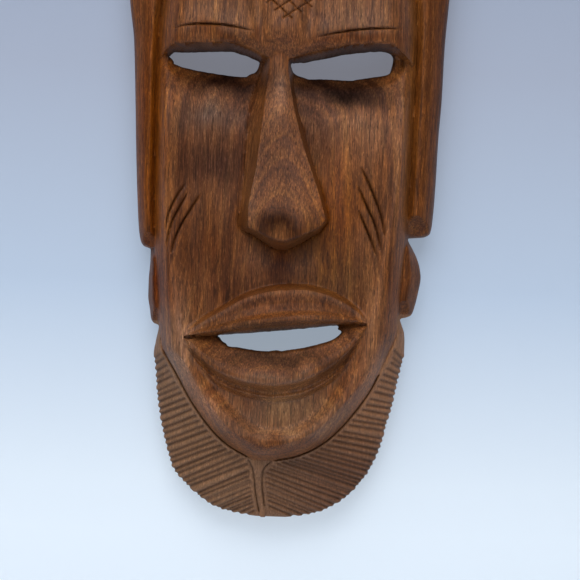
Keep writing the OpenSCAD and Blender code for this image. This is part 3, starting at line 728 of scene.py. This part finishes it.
# ---------------------------------------------------------------- wood
def wood_material():
    mat = bpy.data.materials.new("carved_wood_look")
    mat.use_nodes = True
    nt = mat.node_tree
    nt.nodes.clear()
    N = nt.nodes.new
    L = nt.links.new
    out = N("ShaderNodeOutputMaterial")
    bs = N("ShaderNodeBsdfPrincipled")
    L(bs.outputs[0], out.inputs[0])
    tc = N("ShaderNodeTexCoord")

    def mapping(scale, rot=(0, 0, 0), loc=(0, 0, 0), src=None):
        m = N("ShaderNodeMapping")
        m.inputs["Scale"].default_value = scale
        m.inputs["Rotation"].default_value = rot
        m.inputs["Location"].default_value = loc
        L(src or tc.outputs["Object"], m.inputs["Vector"])
        return m.outputs[0]

    def noise_tex(vec, scale, detail=3, rough=0.55, dist=0.0):
        n = N("ShaderNodeTexNoise")
        n.inputs["Scale"].default_value = scale
        n.inputs["Detail"].default_value = detail
        n.inputs["Roughness"].default_value = rough
        n.inputs["Distortion"].default_value = dist
        L(vec, n.inputs["Vector"])
        return n.outputs["Fac"]

    def ramp(fac, stops):
        r = N("ShaderNodeValToRGB")
        el = r.color_ramp.elements
        while len(el) < len(stops):
            el.new(0.5)
        for e, (p, c) in zip(el, stops):
            e.position = p
            e.color = (c, c, c, 1) if np.isscalar(c) else (*c, 1)
        L(fac, r.inputs[0])
        return r.outputs[0]

    def math_node(op, a, b=None, clamp=False):
        m = N("ShaderNodeMath")
        m.operation = op
        m.use_clamp = clamp
        for s, q in ((0, a), (1, b)):
            if q is None:
                continue
            if isinstance(q, (int, float)):
                m.inputs[s].default_value = q
            else:
                L(q, m.inputs[s])
        return m.outputs[0]

    def mixc(fac, a, b, mode="MIX"):
        m = N("ShaderNodeMix")
        m.data_type = "RGBA"
        m.blend_type = mode
        for sock, q in ((m.inputs["Factor"], fac), (m.inputs["A"], a), (m.inputs["B"], b)):
            pass
        ins = [s for s in m.inputs if s.enabled]
        for s, q in zip(ins, (fac, a, b)):
            if isinstance(q, (int, float)):
                s.default_value = q
            elif isinstance(q, tuple):
                s.default_value = (*q, 1)
            else:
                L(q, s)
        return [s for s in m.outputs if s.enabled][0]

    tone = N("ShaderNodeAttribute"); tone.attribute_name = "tone"
    shade_and_matte = N("ShaderNodeAttribute"); shade_and_matte.attribute_name = "shade_and_matte"
    ts = N("ShaderNodeSeparateColor"); L(tone.outputs["Color"], ts.inputs[0])
    ws = N("ShaderNodeSeparateColor"); L(shade_and_matte.outputs["Color"], ws.inputs[0])
    t_col = ts.outputs[0]
    colour_shade_sheen = N("ShaderNodeAttribute"); colour_shade_sheen.attribute_name = "colour_shade_sheen"
    w_cut_hole_shade, w_rib_shade, w_matte = ws.outputs[0], ws.outputs[1], ws.outputs[2]

    # growth rings about an axis behind the block, so the relief cuts them in
    # nested contours; bent a little along the grain
    bend = noise_tex(mapping((9, 9, 4.5)), 1.0, 2, 0.5)
    sp = N("ShaderNodeSeparateXYZ"); L(tc.outputs["Object"], sp.inputs[0])
    rx = math_node("ADD", sp.outputs[0], 0.002)
    ry = math_node("ADD", sp.outputs[1], 0.068)
    rr = math_node("SQRT", math_node("ADD", math_node("MULTIPLY", rx, rx), math_node("MULTIPLY", ry, ry)))
    rr = math_node("ADD", rr, math_node("MULTIPLY", bend, 0.030))
    ring = N("ShaderNodeTexNoise"); ring.noise_dimensions = "1D"
    ring.inputs["Scale"].default_value = 1.0
    ring.inputs["Detail"].default_value = 3
    ring.inputs["Roughness"].default_value = 0.6
    L(math_node("MULTIPLY", rr, 420.0), ring.inputs["W"])
    streak = noise_tex(mapping((75, 75, 7)), 1.0, 4, 0.55, 0.4)
    bands = math_node("ADD", math_node("MULTIPLY", ring.outputs["Fac"], 0.6), math_node("MULTIPLY", streak, 0.4))
    fine_v = mapping((1500, 1500, 85))
    fine = noise_tex(fine_v, 1.0, 3, 0.6, 0.2)
    col_v = mapping((190, 190, 5))
    colst = noise_tex(col_v, 1.0, 3, 0.6, 0.1)
    # pores: short flecks along the grain
    pore_v = mapping((1900, 1900, 300))
    pores = noise_tex(pore_v, 1.0, 2, 0.5)
    pore_v2 = mapping((2300, 2300, 420), loc=(3.1, 1.7, 9.2))
    pores2 = noise_tex(pore_v2, 1.0, 2, 0.5)

    base = ramp(bands, [(0.36, (0.116, 0.038, 0.0115)), (0.50, (0.168, 0.058, 0.0165)), (0.64, (0.224, 0.085, 0.0240))])
    # columns: clean straight grain, redder
    stripe = ramp(colst, [(0.36, (0.078, 0.021, 0.0050)), (0.52, (0.136, 0.044, 0.0095)), (0.68, (0.205, 0.075, 0.0160))])
    base = mixc(math_node("MULTIPLY", t_col, 0.75), base, stripe)
    base = mixc(1.0, base, colour_shade_sheen.outputs["Color"], "MULTIPLY")
    base = mixc(1.0, base, (0.88, 0.78, 0.56), "MULTIPLY")
    # beard: duller and greyer
    base = mixc(math_node("MULTIPLY", w_matte, 0.62), base, (0.270, 0.140, 0.070))
    mid = noise_tex(mapping((560, 560, 15)), 1.0, 2, 0.5, 0.15)
    base = mixc(1.0, base, ramp(mid, [(0.36, 0.87), (0.62, 1.11)]), "MULTIPLY")
    base = mixc(1.0, base, ramp(fine, [(0.34, 0.50), (0.50, 0.96), (0.67, 1.50)]), "MULTIPLY")
    # light flecks, then dark pores
    light = ramp(pores2, [(0.53, 0.0), (0.64, 1.0)])
    base = mixc(math_node("MULTIPLY", light, 0.50), base, mixc(1.0, base, (2.1, 2.4, 3.0), "MULTIPLY"))
    darkp = ramp(pores, [(0.31, 1.0), (0.40, 0.0)])
    base = mixc(math_node("MULTIPLY", darkp, 0.6), base, (0.022, 0.008, 0.004))
    base = mixc(math_node("MULTIPLY", w_matte, 0.5), base, (0.215, 0.108, 0.052))
    lr = N("ShaderNodeMapRange")
    lr.inputs["From Min"].default_value = -0.02
    lr.inputs["From Max"].default_value = 0.03
    L(sp.outputs[0], lr.inputs["Value"])
    lz = N("ShaderNodeMapRange")
    lz.inputs["From Min"].default_value = -0.270
    lz.inputs["From Max"].default_value = -0.294
    L(sp.outputs[2], lz.inputs["Value"])
    low = math_node("MULTIPLY", math_node("MULTIPLY", lr.outputs[0], lz.outputs[0]), w_matte)
    base = mixc(low, base, mixc(1.0, base, (0.72, 0.62, 0.62), "MULTIPLY"))
    high = math_node("MULTIPLY", math_node("MULTIPLY", lr.outputs[0], math_node("SUBTRACT", 1.0, lz.outputs[0])), w_matte)
    base = mixc(high, base, mixc(1.0, base, (1.22, 1.12, 1.04), "MULTIPLY"))
    # painted shade in the cuts, round the edges of the openings and in the bottoms of the ribs
    base = mixc(math_node("MULTIPLY", math_node("POWER", w_rib_shade, 1.4), 0.62), base, (0.040, 0.017, 0.009))
    base = mixc(math_node("MULTIPLY", w_cut_hole_shade, 0.93), base, (0.012, 0.0055, 0.0035))
    L(base, bs.inputs["Base Color"])

    rgh = ramp(bands, [(0.3, 0.42), (0.7, 0.52)])
    rgh = math_node("ADD", rgh, math_node("MULTIPLY", w_matte, 0.2))
    rgh = math_node("ADD", rgh, math_node("MULTIPLY", darkp, 0.18), True)
    L(rgh, bs.inputs["Roughness"])
    bs.inputs["IOR"].default_value = 1.45
    L(ts.outputs[1], bs.inputs["Specular IOR Level"])

    hgt = math_node("SUBTRACT", math_node("MULTIPLY", fine, 0.5), math_node("MULTIPLY", darkp, 0.7))
    bump = N("ShaderNodeBump")
    bump.inputs["Strength"].default_value = 0.28
    bump.inputs["Distance"].default_value = 0.0003
    L(hgt, bump.inputs["Height"])
    L(bump.outputs[0], bs.inputs["Normal"])
    return mat


def brass_material():
    mat = bpy.data.materials.new("brass_look")
    mat.use_nodes = True
    nt = mat.node_tree
    bs = nt.nodes["Principled BSDF"]
    bs.inputs["Metallic"].default_value = 1.0
    tc = nt.nodes.new("ShaderNodeTexCoord")
    n = nt.nodes.new("ShaderNodeTexNoise")
    n.inputs["Scale"].default_value = 320
    n.inputs["Detail"].default_value = 5
    nt.links.new(tc.outputs["Object"], n.inputs["Vector"])
    r = nt.nodes.new("ShaderNodeValToRGB")
    r.color_ramp.elements[0].position = 0.35
    r.color_ramp.elements[0].color = (0.30, 0.18, 0.065, 1)
    r.color_ramp.elements[1].position = 0.62
    r.color_ramp.elements[1].color = (0.72, 0.50, 0.20, 1)
    nt.links.new(n.outputs["Fac"], r.inputs[0])
    nt.links.new(r.outputs[0], bs.inputs["Base Color"])
    r2 = nt.nodes.new("ShaderNodeMapRange")
    r2.inputs["From Min"].default_value = 0.3
    r2.inputs["From Max"].default_value = 0.7
    r2.inputs["To Min"].default_value = 0.42
    r2.inputs["To Max"].default_value = 0.22
    nt.links.new(n.outputs["Fac"], r2.inputs["Value"])
    nt.links.new(r2.outputs[0], bs.inputs["Roughness"])
    bp = nt.nodes.new("ShaderNodeBump")
    bp.inputs["Strength"].default_value = 0.15
    bp.inputs["Distance"].default_value = 0.0002
    nt.links.new(n.outputs["Fac"], bp.inputs["Height"])
    nt.links.new(bp.outputs[0], bs.inputs["Normal"])
    return mat


wood = wood_material()
brass = brass_material()
me.materials.append(wood)
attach(carving, "mask")
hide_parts("mask_body")
for nm in ("screw_eye", "hanging_ring"):
    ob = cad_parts[nm]
    ob.data.materials.clear()
    ob.data.materials.append(brass)


# ---------------------------------------------------------------- stage
def stage_material(name, paint, glow, z0, z1, see_through):
    mat = bpy.data.materials.new(name)
    mat.use_nodes = True
    nt = mat.node_tree
    bs = nt.nodes["Principled BSDF"]
    out = nt.nodes["Material Output"]
    bs.inputs["Roughness"].default_value = 0.9
    bs.inputs["Specular IOR Level"].default_value = 0.1
    geo = nt.nodes.new("ShaderNodeNewGeometry")
    sep = nt.nodes.new("ShaderNodeSeparateXYZ")
    nt.links.new(geo.outputs["Position"], sep.inputs[0])
    mr = nt.nodes.new("ShaderNodeMapRange")
    mr.inputs["From Min"].default_value = z0
    mr.inputs["From Max"].default_value = z1
    nt.links.new(sep.outputs["Z"], mr.inputs["Value"])
    # paint is a base colour ramp and glow an emission ramp, both along z; on the backdrop both are painted light
    for stops, sock in ((paint, "Base Color"), (glow, "Emission Color")):
        r = nt.nodes.new("ShaderNodeValToRGB")
        el = r.color_ramp.elements
        while len(el) < len(stops):
            el.new(0.5)
        for e, (p, c) in zip(el, stops):
            e.position, e.color = p, (*c, 1)
        nt.links.new(mr.outputs[0], r.inputs[0])
        nt.links.new(r.outputs[0], bs.inputs[sock])
    bs.inputs["Emission Strength"].default_value = 1.0
    if see_through:
        tr = nt.nodes.new("ShaderNodeBsdfTransparent")
        mx = nt.nodes.new("ShaderNodeMixShader")
        nt.links.new(geo.outputs["Backfacing"], mx.inputs[0])
        nt.links.new(bs.outputs[0], mx.inputs[1])
        nt.links.new(tr.outputs[0], mx.inputs[2])
        nt.links.new(mx.outputs[0], out.inputs[0])
    return mat


def quad(name, pts, mat):
    m = bpy.data.meshes.new(name)
    m.from_pydata(pts, [], [(0, 1, 2, 3)])
    o = bpy.data.objects.new(name, m)
    m.materials.append(mat)
    bpy.context.scene.collection.objects.link(o)
    return o


# backdrop: painted light, its colour and its emission glow both brighter low down and dimmer higher up; the glow also
# lightens the wall seen through the openings and softens the mask's shadow on it
wall_y = 0.004
wall = quad("backdrop", [(-1.5, wall_y, -0.62), (1.5, wall_y, -0.62), (1.5, wall_y, 1.2), (-1.5, wall_y, 1.2)],
            stage_material("backdrop_painted_light",
                           [(0.0, (0.46, 0.51, 0.57)), (0.09, (0.43, 0.48, 0.54)), (0.44, (0.24, 0.29, 0.375)),
                            (0.82, (0.206, 0.252, 0.336)), (1.0, (0.18, 0.22, 0.30))],
                           [(0.0, (0.36, 0.41, 0.46)), (0.09, (0.35, 0.40, 0.45)), (0.42, (0.25, 0.305, 0.375)),
                            (0.82, (0.165, 0.17, 0.20)), (1.0, (0.145, 0.155, 0.185))], -0.33, -0.05, True))
floor = quad("floor", [(-1.5, -2.0, -0.62), (1.5, -2.0, -0.62), (1.5, wall_y, -0.62), (-1.5, wall_y, -0.62)],
             stage_material("floor_look", [(0.0, (0.72, 0.76, 0.80)), (1.0, (0.72, 0.76, 0.80))],
                            [(0.0, (0, 0, 0)), (1.0, (0, 0, 0))], -1, 0, False))


def area(name, loc, target, size, power, color=(1, 1, 1)):
    d = bpy.data.lights.new(name, "AREA")
    d.shape = "RECTANGLE"
    d.size, d.size_y = size
    d.energy = power
    d.color = color
    o = bpy.data.objects.new(name, d)
    o.location = loc
    o.rotation_euler = (Vector(target) - Vector(loc)).to_track_quat("-Z", "Y").to_euler()
    bpy.context.scene.collection.objects.link(o)
    return o


mid = (0, 0, -0.16)
for lamp in (area("key", (-0.08, -0.62, 0.54), mid, (0.9, 0.6), 8.4, (1.0, 0.985, 0.97)),
             area("fill", (0.30, -1.3, -0.30), mid, (1.6, 1.2), 1.2, (1.0, 0.99, 0.98)),
             area("left", (-1.0, -0.55, -0.05), mid, (0.8, 1.0), 0.8, (0.98, 0.98, 1.0)),
             area("bounce", (0.0, -0.55, -0.60), mid, (1.2, 0.7), 1.4, (1.0, 0.97, 0.93))):
    lamp.visible_glossy = False
area("sheen", (-0.10, -1.25, 0.42), mid, (0.75, 0.35), 2.4, (0.92, 0.95, 1.0))
world = bpy.data.worlds.new("world")
world.use_nodes = True
world.node_tree.nodes["Background"].inputs[0].default_value = (0.84, 0.91, 1.0, 1)
world.node_tree.nodes["Background"].inputs[1].default_value = 0.16
bpy.context.scene.world = world
bpy.context.scene.view_settings.view_transform = "Standard"
bpy.context.scene.view_settings.look = "None"
